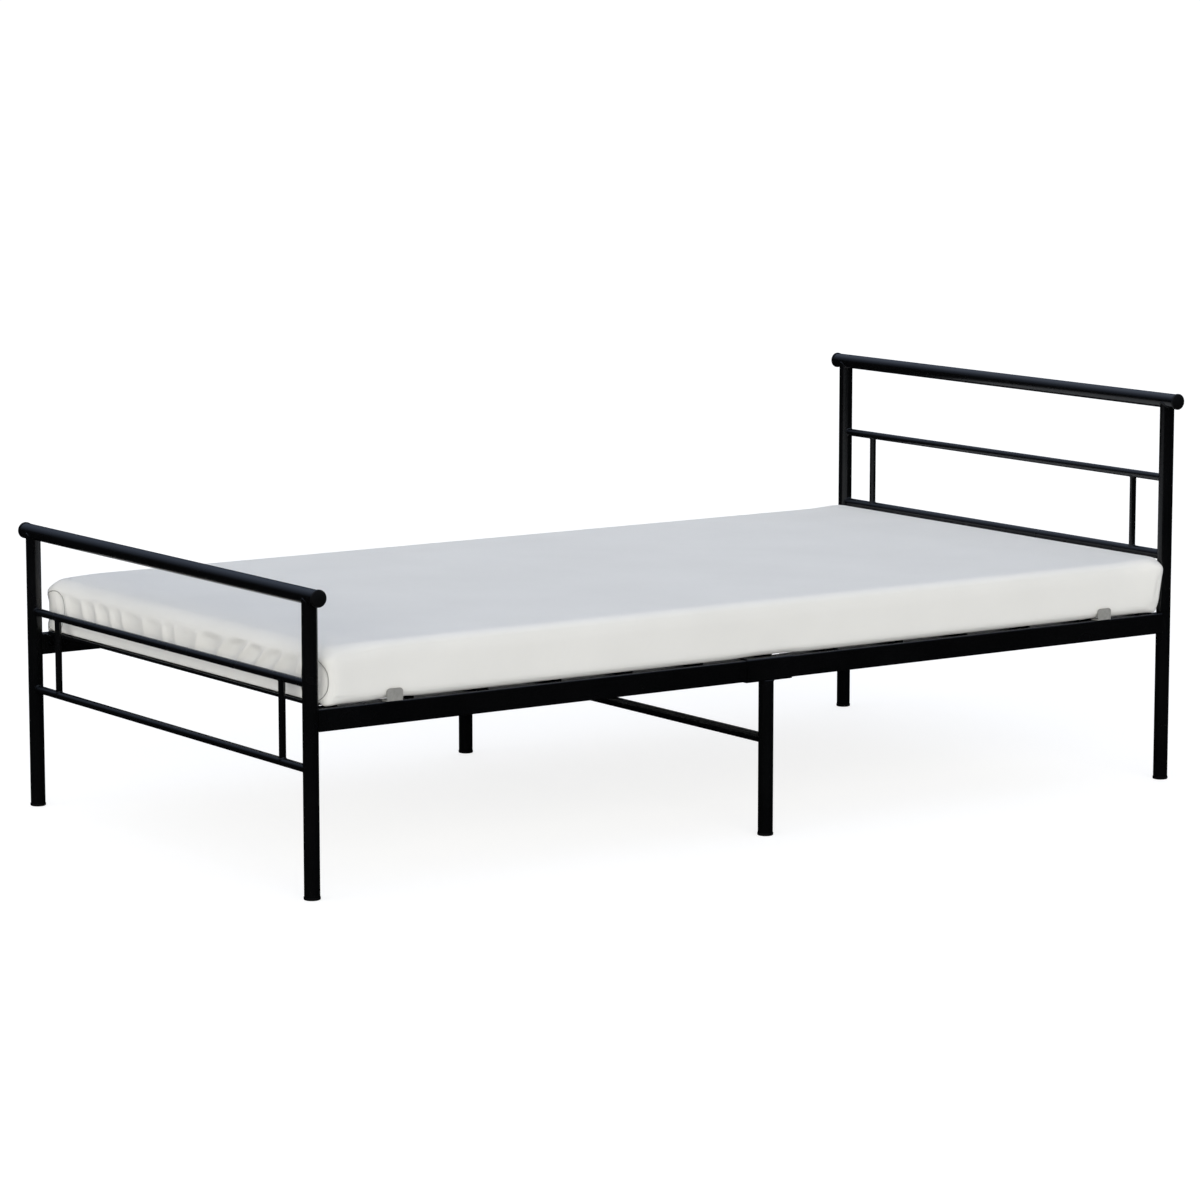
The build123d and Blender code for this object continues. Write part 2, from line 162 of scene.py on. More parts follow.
def black_plastic():
    """Moulded black plastic with a fine spark-eroded grain."""
    material, shader = new_material("black_plastic", {"Specular IOR Level": 0.22})
    tree = material.node_tree
    link = tree.links.new
    tone = two_tones(tree, noise_value(tree, 40, 3), (0.0018, 0.0018, 0.0019), (0.0030, 0.0030, 0.0031))
    link(tone, shader.inputs["Base Color"])
    link(spread(tree, noise_value(tree, 60, 4), 0.42, 0.56), shader.inputs["Roughness"])
    grain = add_bump(tree, noise_value(tree, 1600, 3, 0.7), 0.00012, 0.5)
    link(grain, shader.inputs["Normal"])
    return material


def retainer_grey():
    """Light grey enamel on the mattress retainers, rubbed a little where the mattress slides."""
    material, shader = new_material("retainer_grey", {"Specular IOR Level": 0.35})
    tree = material.node_tree
    link = tree.links.new
    tone = two_tones(tree, noise_value(tree, 120, 5, 0.6), (0.215, 0.215, 0.210), (0.275, 0.275, 0.268))
    link(tone, shader.inputs["Base Color"])
    link(spread(tree, noise_value(tree, 220, 4), 0.38, 0.55), shader.inputs["Roughness"])
    peel = add_bump(tree, noise_value(tree, 1100, 2), 0.0001, 0.4)
    link(peel, shader.inputs["Normal"])
    return material


def fastener_steel():
    """Steel with a black zinc plate, a faint spangle and turning marks."""
    material, shader = new_material("fastener_steel", {"Metallic": 1.0})
    tree = material.node_tree
    link = tree.links.new
    tone = two_tones(tree, noise_value(tree, 700, 4, 0.6), (0.020, 0.020, 0.022), (0.045, 0.045, 0.046))
    link(tone, shader.inputs["Base Color"])
    link(spread(tree, noise_value(tree, 500, 4), 0.28, 0.48), shader.inputs["Roughness"])
    marks = add_bump(tree, noise_value(tree, 2600, 2), 0.00005, 0.4)
    link(marks, shader.inputs["Normal"])
    return material


KNIT_PITCH = 1.7 * MM
FABRIC_TONES = ((0.715, 0.715, 0.705), (0.745, 0.745, 0.735))
# Tones of the seam cord: the cord is real, but its dark tone is painted shade of the groove along the
# patch's seam.
SEAM_SHADE_TONES = ((0.27, 0.27, 0.265), (0.33, 0.33, 0.325))


def knit_height(tree, pitch):
    """Height of a fine knit. Three sets of ribs, of which any flat side of the mattress shows two."""
    turns = 2 * math.pi / pitch
    place = object_place(tree)
    split = add_node(tree, "ShaderNodeSeparateXYZ", {"Vector": place})
    total = None
    for axis in ("X", "Y", "Z"):
        scaled = {0: split.outputs[axis], 1: turns}
        phase = add_node(tree, "ShaderNodeMath", scaled, operation="MULTIPLY")
        wave = add_node(tree, "ShaderNodeMath", {0: phase.outputs[0]}, operation="SINE").outputs[0]
        if total is not None:
            wave = add_node(tree, "ShaderNodeMath", {0: total, 1: wave}, operation="ADD").outputs[0]
        total = wave
    return total


def mattress_fabric(name, first, second):
    """White polyester knit: fine loops, a soft fuzz and a slow unevenness of the cloth."""
    values = {
        "Specular IOR Level": 0.25,
        "Sheen Weight": 0.18,
        "Sheen Roughness": 0.45,
        "Sheen Tint": (1.0, 0.99, 0.97, 1),
    }
    material, shader = new_material(name, values)
    tree = material.node_tree
    link = tree.links.new
    tone = two_tones(tree, noise_value(tree, 6, 4, 0.5), first, second)
    link(tone, shader.inputs["Base Color"])
    link(spread(tree, noise_value(tree, 90, 3), 0.82, 0.95), shader.inputs["Roughness"])
    slow = add_bump(tree, noise_value(tree, 22, 3, 0.55), 0.0022, 0.04)
    fuzz = add_bump(tree, noise_value(tree, 1500, 3, 0.7), 0.0004, 0.35, slow)
    knit = add_bump(tree, knit_height(tree, KNIT_PITCH), 0.00012, 0.5, fuzz)
    link(knit, shader.inputs["Normal"])
    return material


# ---- Weld beads ----
BEAD_W = 1.9 * MM         # half width of a bead
BEAD_H = 1.3 * MM         # its height over the corner that it fills
RIPPLE = 2.4 * MM         # from one ripple to the next
BEAD_STEP = 0.9 * MM      # from one ring of the bead to the next
BEAD_SIDES = 8
STITCH_L = 36 * MM        # length of a weld stitch under a slat ledge
SLEEVE_OVERHANG = 0.6 * MM
BEAM_CORNER_R = 2.5 * MM
TAPER_RINGS = 4           # rings over which an open bead thins out at its ends


def bead(bm, path, closed):
    """Sweeps an uneven, rippled bead along a path of (point, outward direction)."""
    count = len(path)
    rings = []
    travelled = 0.0
    for i, (point, out) in enumerate(path):
        if i:
            travelled += (point - path[i - 1][0]).length
        after = path[(i + 1) % count if closed else min(i + 1, count - 1)][0]
        before = path[(i - 1) % count if closed else max(i - 1, 0)][0]
        along = (after - before).normalized()
        across = along.cross(out).normalized()
        lift = across.cross(along).normalized()
        ripple = abs(math.sin(math.pi * travelled / RIPPLE))
        size = 0.86 + 0.16 * ripple + 0.12 * noise.noise(point / (4 * MM))
        if not closed:
            ends = min(i, count - 1 - i)
            size *= 0.35 + 0.65 * ease(ends / TAPER_RINGS)
        ring = []
        for k in range(BEAD_SIDES):
            angle = 2 * math.pi * k / BEAD_SIDES
            offset = across * (BEAD_W * math.cos(angle)) + lift * (BEAD_H * math.sin(angle))
            ring.append(bm.verts.new(point + offset * size))
        rings.append(ring)
    pairs = list(zip(rings, rings[1:]))
    if closed:
        pairs.append((rings[-1], rings[0]))
    for one, two in pairs:
        for k in range(BEAD_SIDES):
            after = (k + 1) % BEAD_SIDES
            bm.faces.new((one[k], one[after], two[after], two[k]))
    if not closed:
        bm.faces.new(rings[0])
        bm.faces.new(rings[-1])


def tube_joint(centre, branch, branch_r, run, run_r, start=0.0, sweep=2 * math.pi):
    """Path where a branch tube meets a wider run tube. The angle is measured from the run's axis."""
    side = run.cross(branch)
    steps = max(24, int(branch_r * sweep / BEAD_STEP))
    closed = sweep == 2 * math.pi
    path = []
    for i in range(steps + (0 if closed else 1)):
        angle = start + sweep * i / steps
        reach = math.sqrt(max(0.0, run_r**2 - (branch_r * math.sin(angle)) ** 2))
        around = run * math.cos(angle) + side * math.sin(angle)
        from_run = (side * (branch_r * math.sin(angle)) + branch * reach).normalized()
        path.append((centre + around * branch_r + branch * reach, (around + from_run).normalized()))
    return path


def flat_joint(centre, radius, down, limit_x=1.0):
    """Ring where an upright tube meets a flat underside, cut short where the underside is narrower."""
    steps = int(2 * math.pi * radius / BEAD_STEP)
    path = []
    for i in range(steps):
        angle = 2 * math.pi * i / steps
        around = X * math.cos(angle) + Y * math.sin(angle)
        point = around * radius
        point.x = max(-limit_x, min(limit_x, point.x))
        path.append((centre + point, (around + down).normalized()))
    return path


def box_joint(centre, half_y, half_z, corner, inward):
    """Rounded rectangle where a rectangular tube along X meets a flat side."""
    path = []
    for quarter in range(4):
        sign_y = (1, -1, -1, 1)[quarter]
        sign_z = (1, 1, -1, -1)[quarter]
        middle_point = Vector((0, sign_y * (half_y - corner), sign_z * (half_z - corner)))
        for step in range(5):
            angle = math.pi / 2 * (quarter + step / 4)
            around = Y * math.cos(angle) + Z * math.sin(angle)
            path.append((middle_point + around * corner, around))
    dense = []
    for i, (point, around) in enumerate(path):
        after, around_after = path[(i + 1) % len(path)]
        pieces = max(1, int((after - point).length / BEAD_STEP))
        for k in range(pieces):
            share = k / pieces
            here = around.lerp(around_after, share).normalized()
            dense.append((centre + point.lerp(after, share), (here + inward).normalized()))
    return dense


def weld_board(end, material):
    """Welds of the headboard or the footboard."""
    bm = bmesh.new()
    rail = middle(f"{end}_top_rail")
    rail_r = half(f"{end}_top_rail", 2)
    for side in SIDES:
        post = middle(f"{end}_post_{side}")
        post_r = half(f"{end}_post_{side}", 0)
        inward = X if post.x < 0 else -X
        top = Vector((post.x, rail.y, rail.z))
        bead(bm, tube_joint(top, -Z, post_r, X, rail_r), True)
        for level in ("lower", "upper"):
            bar = f"{end}_{level}_crossbar"
            bar_z, bar_r = middle(bar).z, half(bar, 2)
            at_post = Vector((post.x, post.y, bar_z))
            bead(bm, tube_joint(at_post, inward, bar_r, Z, post_r), True)
            spindle = f"{end}_spindle_{side}"
            at_bar = Vector((middle(spindle).x, post.y, bar_z))
            upward = Z if level == "lower" else -Z
            bead(bm, tube_joint(at_bar, upward, half(spindle, 0), X, bar_r), True)
    return mesh_object(f"welds_{end}board", bm, material)


def weld_centre(material):
    """Welds of the centre support."""
    bm = bmesh.new()
    bar = middle("centre_crossbar")
    bar_r = half("centre_crossbar", 2)
    beam = middle("centre_beam")
    beam_low, beam_high = BOXES["centre_beam"]
    for side in SIDES:
        leg = middle(f"centre_leg_{side}")
        leg_r = half(f"centre_leg_{side}", 0)
        inward = X if leg.x < 0 else -X
        at_leg = Vector((leg.x, leg.y, bar.z))
        bead(bm, tube_joint(at_leg, inward, bar_r, Z, leg_r), True)
        sleeve_bottom = BOXES[f"centre_sleeve_{side}"][0].z
        reach = half(f"centre_sleeve_{side}", 0) + SLEEVE_OVERHANG
        bead(bm, flat_joint(Vector((leg.x, leg.y, sleeve_bottom)), leg_r, -Z, reach), True)
        end_x = beam_low.x if leg.x < 0 else beam_high.x
        at_sleeve = Vector((end_x, beam.y, beam.z))
        half_y, half_z = half("centre_beam", 1), half("centre_beam", 2)
        path = box_joint(at_sleeve, half_y, half_z, BEAM_CORNER_R, inward)
        bead(bm, path, True)
    strut_r = half("centre_strut", 0)
    for outward in (X, -X):
        path = tube_joint(bar, outward, bar_r, Z, strut_r, -math.pi / 2, math.pi)
        bead(bm, path, False)
    bead(bm, flat_joint(Vector((0, beam.y, beam_low.z)), strut_r, -Z), True)
    return mesh_object("welds_centre", bm, material)


def weld_ledges(material):
    """Short weld stitches under the slat ledges, one between each two slats."""
    rows = sorted(middle(f"slat_{n:02d}").y for n in range(1, 13))
    pitch = rows[1] - rows[0]
    bm = bmesh.new()
    for end in ENDS:
        for side in SIDES:
            low, high = BOXES[f"slat_ledge_{end}_{side}"]
            outer_x = low.x if side == "left" else high.x
            inward = X if side == "left" else -X
            for y in [row + pitch / 2 for row in rows] + [rows[0] - pitch / 2]:
                if not low.y + STITCH_L < y < high.y - STITCH_L:
                    continue
                steps = int(STITCH_L / BEAD_STEP)
                path = []
                for i in range(steps + 1):
                    point = Vector((outer_x, y + STITCH_L * (i / steps - 0.5), low.z))
                    path.append((point, (inward - Z).normalized()))
                bead(bm, path, False)
    return mesh_object("welds_ledges", bm, material)


# ---- Mattress ----
MATTRESS_LOW, MATTRESS_HIGH = BOXES["mattress"]
MATTRESS_MID = (MATTRESS_LOW + MATTRESS_HIGH) / 2
HALF_X = (MATTRESS_HIGH.x - MATTRESS_LOW.x) / 2
HALF_Y = (MATTRESS_HIGH.y - MATTRESS_LOW.y) / 2
HALF_Z = (MATTRESS_HIGH.z - MATTRESS_LOW.z) / 2
CORNER_R = {"foot": 23 * MM, "head": 11 * MM}   # upright corners
TOP_CORNER_R = 32 * MM    # corners of the top face
BOTTOM_CORNER_R = 17 * MM
TOP_EDGE_R = 17 * MM
FOOT_EDGE_R = 28 * MM     # softer rim at the foot end
HEAD_EDGE_R = 8 * MM      # tighter rim where the head end meets its bar
BOTTOM_EDGE_R = 14 * MM   # along the two long sides
END_BOTTOM_R = 4 * MM     # under the two ends
FOOT_REACH = 6 * MM       # the foot end swells this far past its outline
FOOT_DROOP = 5 * MM       # the top slopes down this much towards the foot end
END_SLOPE_L = 110 * MM    # length of the top over which it slopes at either end
HEAD_LIFT = 3.4 * MM      # the top rises this much towards the head end
HEAD_REACH = 4.2 * MM     # the head end swells this far, between the posts
CORNER_SWELL = 9.5 * MM   # how much fuller a head corner is at the top than at the bottom
FOOT_SWELL = 0.4          # a foot corner's share of that swell
TOP_WAVE = 0.5 * MM       # slow unevenness of the top
START_INSET = 0.8 * MM    # the cover starts this much inside its final outline
SWELL_CAP = 2.6 * MM      # how far the simulation may move the cover
SIM_STEPS = 20
POST_ROOM = 1.6 * MM      # air left between the cover and a post
SLAT_END_X = BOXES["slat_01"][1].x + 1.0 * MM
RAIL_TOP_Z = BOXES["side_rail_foot_left"][1].z
SLEEVE_TOP_Z = BOXES["centre_sleeve_left"][1].z
RETAINER_FOOT_T = 2.5 * MM
RETAINER_ROOM = 2 * MM    # each side of a retainer where the cover rides over its foot
SLEEVE_ROOM = 14 * MM     # each side of a centre sleeve where the cover rides over it
CONTACT = 0.4 * MM        # air left between the cover and what it rests on


def graded(half_length, bands, coarse):
    """Places from -half_length to half_length. Each (width, step) band runs inwards from both ends."""
    outer = []
    edge = half_length
    for width, step in bands:
        count = round(width / step)
        outer += [edge - width * i / count for i in range(count)]
        edge -= width
    count = max(2, round(2 * edge / coarse))
    inner = [-edge + 2 * edge * i / count for i in range(count + 1)]
    return [-place for place in outer] + inner + outer[::-1]


def round_plan(x, y, half_x, half_y, radius):
    """Moves a point of a rectangle's grid so that the rectangle's corners come out round."""
    over_x = abs(x) - (half_x - radius)
    over_y = abs(y) - (half_y - radius)
    if over_x <= 0 or over_y <= 0:
        return x, y
    scale = max(over_x, over_y) / math.hypot(over_x, over_y)
    new_x = half_x - radius + over_x * scale
    new_y = half_y - radius + over_y * scale
    return math.copysign(new_x, x), math.copysign(new_y, y)


def depth_and_normal(x, y, half_x, half_y, radius):
    """How far a point lies inside the rounded outline, and the outline's outward normal there."""
    over_x = abs(x) - (half_x - radius)
    over_y = abs(y) - (half_y - radius)
    if over_x > 0 and over_y > 0:
        length = math.hypot(over_x, over_y)
        depth = radius - length
        normal = (math.copysign(over_x / length, x), math.copysign(over_y / length, y))
        return depth, normal
    if half_x - abs(x) < half_y - abs(y):
        return half_x - abs(x), (math.copysign(1, x), 0)
    return half_y - abs(y), (0, math.copysign(1, y))


def rounded_block_point(x, y, z, half_x, half_y, half_z):
    """Point of a box's lattice moved onto a block with round upright corners and round rims."""
    upright = CORNER_R["foot"] if y < 0 else CORNER_R["head"]
    corner = upright + (TOP_CORNER_R - upright) * ease((z / half_z - 0.55) / 0.45)
    corner += (BOTTOM_CORNER_R - upright) * ease((-z / half_z - 0.5) / 0.4)
    x, y = round_plan(x, y, half_x, half_y, corner)
    depth, normal = depth_and_normal(x, y, half_x, half_y, corner)
    if z > 0:
        at_foot = ease(1 - (y + half_y) / (120 * MM))
        at_head = ease(1 - (half_y - y) / (30 * MM)) * ease((half_x - abs(x)) / (22 * MM))
        radius = TOP_EDGE_R + (FOOT_EDGE_R - TOP_EDGE_R) * at_foot
        radius += (HEAD_EDGE_R - TOP_EDGE_R) * at_head
    else:
        from_end = ease((half_y - abs(y)) / (40 * MM))
        radius = END_BOTTOM_R + (BOTTOM_EDGE_R - END_BOTTOM_R) * from_end
    over_side = radius - depth
    over_z = abs(z) - (half_z - radius)
    if over_side <= 0 or over_z <= 0:
        return Vector((x, y, z))
    scale = max(over_side, over_z) / math.hypot(over_side, over_z)
    move = over_side * scale - over_side
    new_z = half_z - radius + over_z * scale
    return Vector((x + normal[0] * move, y + normal[1] * move, math.copysign(new_z, z)))


def lattice_block(name, material):
    """Closed quad mesh of the mattress's outline, finer near the two ends."""
    half_x, half_y, half_z = (h - START_INSET for h in (HALF_X, HALF_Y, HALF_Z))
    xs = graded(half_x, [(30 * MM, 5 * MM)], 10 * MM)
    ys = graded(half_y, [(30 * MM, 5 * MM), (60 * MM, 10 * MM)], 30 * MM)
    zs = graded(half_z, [(21 * MM, 4.2 * MM)], 8 * MM)
    last = (len(xs) - 1, len(ys) - 1, len(zs) - 1)
    bm = bmesh.new()
    made = {}

    def corner(i, j, k):
        if (i, j, k) not in made:
            place = rounded_block_point(xs[i], ys[j], zs[k], half_x, half_y, half_z)
            made[i, j, k] = bm.verts.new(place + MATTRESS_MID)
        return made[i, j, k]

    def sheet(axis, index):
        """One side of the lattice, where the given axis has a fixed index."""
        first, second = [a for a in range(3) if a != axis]
        for a in range(last[first]):
            for b in range(last[second]):
                loop = []
                for da, db in ((0, 0), (1, 0), (1, 1), (0, 1)):
                    place = [0, 0, 0]
                    place[axis] = index
                    place[first] = a + da
                    place[second] = b + db
                    loop.append(corner(*place))
                bm.faces.new(loop)

    for axis in range(3):
        sheet(axis, 0)
        sheet(axis, last[axis])
    return mesh_object(name, bm, material)


# Crests of the gathers across an end: place in metres at GATHER_LEVEL, sideways lean going down,
# and depth in mm of the swag that hangs between this crest and the next one.
GATHER_LEVEL = MATTRESS_HIGH.z - 53 * MM
GATHER_STRENGTH = 1.45
GATHER_TOP = MATTRESS_HIGH.z - 24 * MM
GATHERS = [
    (-0.516, 0.20, 1.2), (-0.463, 0.30, 2.6), (-0.423, 0.44, 4.2), (-0.357, 0.44, 3.8),
    (-0.305, 0.42, 4.4), (-0.249, 0.42, 3.6), (-0.203, 0.40, 4.0), (-0.124, 0.36, 3.0),
    (-0.050, 0.30, 2.6), (-0.006, 0.20, 3.0), (0.069, -0.30, 6.0), (0.154, -0.95, 7.6),
    (0.226, -1.15, 7.0), (0.289, -1.15, 6.0), (0.352, -1.00, 4.4), (0.420, -0.60, 2.6),
    (0.516, 0.00, 1.0),
]
# Small creases low on an end: place in metres at CREASE_LEVEL, lean, depth in mm.
CREASE_LEVEL = MATTRESS_LOW.z + 22 * MM
CREASE_SPREAD = 13 * MM   # how far a crease runs up and down
CREASES = [
    (-0.291, 1.9, 1.5), (-0.415, 0.9, 1.1), (0.131, -1.2, 1.2), (0.197, -0.8, 1.2), (0.385, 0.5, 1.4),
]


def swag_depth(x, z):
    """Depth of the cloth between two crests, which hangs in a hollow from crest to crest."""
    down = GATHER_LEVEL - z
    lines = [(place + lean * down, deep) for place, lean, deep in GATHERS]
    for (start, deep), (stop, _) in zip(lines, lines[1:]):
        if start <= x < stop:
            share = (x - start) / (stop - start)
            uneven = 1 + 0.25 * noise.noise(Vector((x * 14, z * 9, 1.0)))
            hang = 1 - abs(2 * share - 1) ** 2
            return GATHER_STRENGTH * deep * MM * uneven * hang
    return 0.0


def crease_depth(x, z):
    """Small creases between the gathers and the bottom edge."""
    down = CREASE_LEVEL - z
    total = 0.0
    for place, lean, deep in CREASES:
        away = x - place - lean * down
        sharp = 3 * MM if away > 0 else 8 * MM
        total += deep * MM * bump_at(away, 0, sharp) * bump_at(down, 0, CREASE_SPREAD)
    return total


def shape_end_panel(point, end):
    """Gathers the end face into soft swags, which lie the other way round at the head."""
    edge_y = end * HALF_Y + MATTRESS_MID.y
    inside = (edge_y - point.y) * end
    on_end = ease(1 - (inside - 6 * MM) / (16 * MM))
    if on_end <= 0:
        return
    x = -end * point.x
    ragged = 5 * MM * noise.noise(Vector((x * 11, 0, 7)))
    start = ease((GATHER_TOP - point.z + ragged) / (17 * MM))
    stop = 0.22 + 0.78 * ease((point.z - CREASE_LEVEL) / (24 * MM))
    under = ease((point.z - MATTRESS_LOW.z - 1 * MM) / (10 * MM))
    depth = swag_depth(x, point.z) * start * stop * under + crease_depth(x, point.z)
    point.y -= end * depth * on_end


# Oval patch sewn into each upright corner at the foot, laid out flat by unrolling the corner.
PATCH_HALF_W = 37 * MM
PATCH_HALF_H = 38.5 * MM
PATCH_MID_Z = MATTRESS_LOW.z + 40 * MM
PATCH_MID = -18 * MM      # from where the corner starts to turn
PATCH_DEPTH = 1.6 * MM
PATCH_POWER = 2.4         # 2 is an ellipse, more is squarer


def patch_place(point):
    """Place of a point on the unrolled foot corner, in half sizes of the patch."""
    corner = CORNER_R["foot"]
    across = abs(point.x) - (HALF_X - corner)
    back = point.y - MATTRESS_LOW.y
    if across > 0:
        turned = math.atan2(across, max(corner - back, 0.0001))
        across = corner * min(turned, math.pi / 2) + max(0.0, back - corner)
    return (across - PATCH_MID) / PATCH_HALF_W, (point.z - PATCH_MID_Z) / PATCH_HALF_H


def recess_patch(point):
    """Sets the cover back inside the patch of a foot corner."""
    if abs(point.x) < HALF_X - 90 * MM or point.y > MATTRESS_LOW.y + 60 * MM:
        return
    u, v = patch_place(point)
    reach = (abs(u) ** PATCH_POWER + abs(v) ** PATCH_POWER) ** (1 / PATCH_POWER)
    depth = PATCH_DEPTH * ease((1.06 - reach) / 0.12)
    if depth > 0:
        out = Vector((math.copysign(max(0.0, u), point.x), -0.9, 0)).normalized()
        point -= out * depth


def bulge_corners(point):
    """Softness of the four corners: fuller near the top, drawn in at the bottom."""
    from_mid = point - MATTRESS_MID
    near_x = ease(1 - (HALF_X - abs(from_mid.x)) / (70 * MM))
    near_y = ease(1 - (HALF_Y - abs(from_mid.y)) / (70 * MM))
    near = near_x * near_y
    if near <= 0:
        return
    height = (point.z - MATTRESS_LOW.z) / (2 * HALF_Z)
    swell = (CORNER_SWELL * height + 1.0 * MM) * ease(height / 0.15) * ease((1.12 - height) / 0.3)
    if from_mid.y < 0:
        swell *= FOOT_SWELL
    point.x += math.copysign(swell * near, from_mid.x)
    point.y += math.copysign(swell * near, from_mid.y)


def rest_height(x, y):
    """Lowest place of the cover over a point: on the slats, or outside them on the rails and fittings."""
    if abs(x) < SLAT_END_X:
        return MATTRESS_LOW.z
    for end in ENDS:
        near_retainer = half(f"retainer_{end}_left", 1) + RETAINER_ROOM
        if abs(y - middle(f"retainer_{end}_left").y) < near_retainer:
            return RAIL_TOP_Z + RETAINER_FOOT_T + CONTACT
    if abs(y) < half("centre_sleeve_left", 1) + SLEEVE_ROOM:
        return SLEEVE_TOP_Z + CONTACT
    return RAIL_TOP_Z + CONTACT


def settle(point):
    """Lets the bottom edge of the foam sink past the slats' ends onto the rail."""
    past_slats = ease((abs(point.x) - SLAT_END_X + 1 * MM) / (5 * MM))
    sink = MATTRESS_LOW.z - rest_height(point.x, point.y)
    point.z -= sink * past_slats * ease(1 - (point.z - MATTRESS_LOW.z) / (30 * MM))


def shape_ends(point):
    """Fuller foot end under a top that slopes down to it, and a head end pressed up to its bar."""
    height = (point.z - MATTRESS_LOW.z) / (2 * HALF_Z)
    from_foot = point.y - MATTRESS_LOW.y
    from_head = MATTRESS_HIGH.y - point.y
    point.y -= FOOT_REACH * ease(1 - from_foot / (70 * MM)) * (1 - 0.35 * height)
    if from_foot < END_SLOPE_L:
        point.z -= FOOT_DROOP * (1 - max(0.0, from_foot) / END_SLOPE_L) ** 2 * ease(height)
    near_head = ease(1 - from_head / END_SLOPE_L)
    point.z += HEAD_LIFT * near_head * ease((height - 0.5) / 0.5)
    between_posts = ease((HALF_X - abs(point.x)) / (60 * MM))
    point.y += HEAD_REACH * near_head * between_posts * ease((height - 0.3) / 0.4)


def sculpt(piece):
    """Moves the start mesh before the simulation: corners, ends and a soft top."""
    for vertex in piece.data.vertices:
        point = vertex.co
        bulge_corners(point)
        top = ease((point.z - MATTRESS_HIGH.z + 6 * MM) / (5 * MM))
        if top > 0:
            slow = noise.noise(Vector((point.x * 3.1, point.y * 2.3, 4.0)))
            point.z += top * TOP_WAVE * slow
        shape_ends(point)
        settle(point)


def gather_ends(piece):
    """Gathers and corner patches, worked into the finer mesh."""
    for vertex in piece.data.vertices:
        point = vertex.co
        end = math.copysign(1, point.y - MATTRESS_MID.y)
        shape_end_panel(point, end)
        if end < 0:
            recess_patch(point)


def keep_group(piece):
    """Vertex group that holds the foam's broad faces still and leaves the rims and sides free."""
    group = piece.vertex_groups.new(name="held")
    for vertex in piece.data.vertices:
        from_mid = vertex.co - MATTRESS_MID
        inside = min(HALF_X - abs(from_mid.x), HALF_Y - abs(from_mid.y))
        weight = ease((inside - 18 * MM) / (60 * MM))
        if vertex.co.z < MATTRESS_LOW.z + 5 * MM:
            weight = 1.0
        group.add([vertex.index], weight, "REPLACE")
    return group


def inflate(piece, cap):
    """Lets the cover swell as cloth. The foam stops it sinking in, and a cap limits each point's move."""
    start = [(vertex.co.copy(), vertex.normal.copy()) for vertex in piece.data.vertices]
    keep_group(piece)
    cloth = piece.modifiers.new("cloth", "CLOTH")
    settings = cloth.settings
    settings.quality = 6
    settings.mass = 0.25
    settings.tension_stiffness = 18
    settings.compression_stiffness = 12
    settings.shear_stiffness = 6
    settings.bending_stiffness = 0.6
    settings.use_pressure = True
    settings.uniform_pressure_force = 4.0
    settings.vertex_group_mass = "held"
    settings.effector_weights.gravity = 0
    cloth.collision_settings.use_collision = False
    cloth.point_cache.frame_start = 1
    cloth.point_cache.frame_end = SIM_STEPS
    for step in range(1, SIM_STEPS + 1):
        bpy.context.scene.frame_set(step)
    graph = bpy.context.evaluated_depsgraph_get()
    swollen = piece.evaluated_get(graph).to_mesh()
    for vertex, after, (before, outward) in zip(piece.data.vertices, swollen.vertices, start):
        move = after.co - before
        move -= outward * min(0.0, move.dot(outward))
        length = move.length
        if length > 0:
            move *= cap * math.tanh(length / cap) / length
        vertex.co = before + move
    piece.evaluated_get(graph).to_mesh_clear()
    piece.modifiers.remove(cloth)
    piece.vertex_groups.clear()
    bpy.context.scene.frame_set(1)


def keep_inside(piece):
    """Keeps the underside flat on the slats and the corners clear of the posts."""
    posts = [middle(f"{end}_post_{side}") for end in ENDS for side in SIDES]
    room = half("head_post_left", 0) + POST_ROOM
    for vertex in piece.data.vertices:
        point = vertex.co
        point.z = max(point.z, rest_height(point.x, point.y))
        for post in posts:
            away = Vector((point.x - post.x, point.y - post.y, 0))
            if away.length < room:
                away = away.normalized() * room
                point.x = post.x + away.x
                point.y = post.y + away.y


def subdivide(piece):
    """One level of smooth subdivision, applied."""
    modifier = piece.modifiers.new("smooth", "SUBSURF")
    modifier.levels = 1
    modifier.render_levels = 1
    graph = bpy.context.evaluated_depsgraph_get()
    finer = bpy.data.meshes.new_from_object(piece.evaluated_get(graph))
    piece.modifiers.remove(modifier)
    piece.data = finer
    for polygon in finer.polygons:
        polygon.use_smooth = True


def mattress_piece(material):
    piece = lattice_block("mattress_cover", material)
    sculpt(piece)
    inflate(piece, SWELL_CAP)
    keep_inside(piece)
    subdivide(piece)
    gather_ends(piece)
    return piece


CORD_R = 0.95 * MM
CORD_SIDES = 6
CORD_POINTS = 72


def patch_line(side, count):
    """Points of a foot corner patch's outline, standing off the cover, with the way in to it."""
    corner = CORNER_R["foot"]
    centre = Vector((HALF_X - corner, MATTRESS_LOW.y + corner, 0))
    line = []
    for i in range(count):
        angle = 2 * math.pi * i / count
        cos, sin = math.cos(angle), math.sin(angle)
        reach = (abs(cos) ** PATCH_POWER + abs(sin) ** PATCH_POWER) ** (-1 / PATCH_POWER)
        across = PATCH_MID + PATCH_HALF_W * reach * cos
        z = PATCH_MID_Z + PATCH_HALF_H * reach * sin
        turned = min(max(0.0, across / corner), math.pi / 2)
        out = Vector((math.sin(turned), -math.cos(turned), 0))
        place = centre + out * (corner + 25 * MM) + X * min(0.0, across)
        line.append((Vector((side * place.x, place.y, z)), Vector((-side * out.x, -out.y, 0))))
    return line


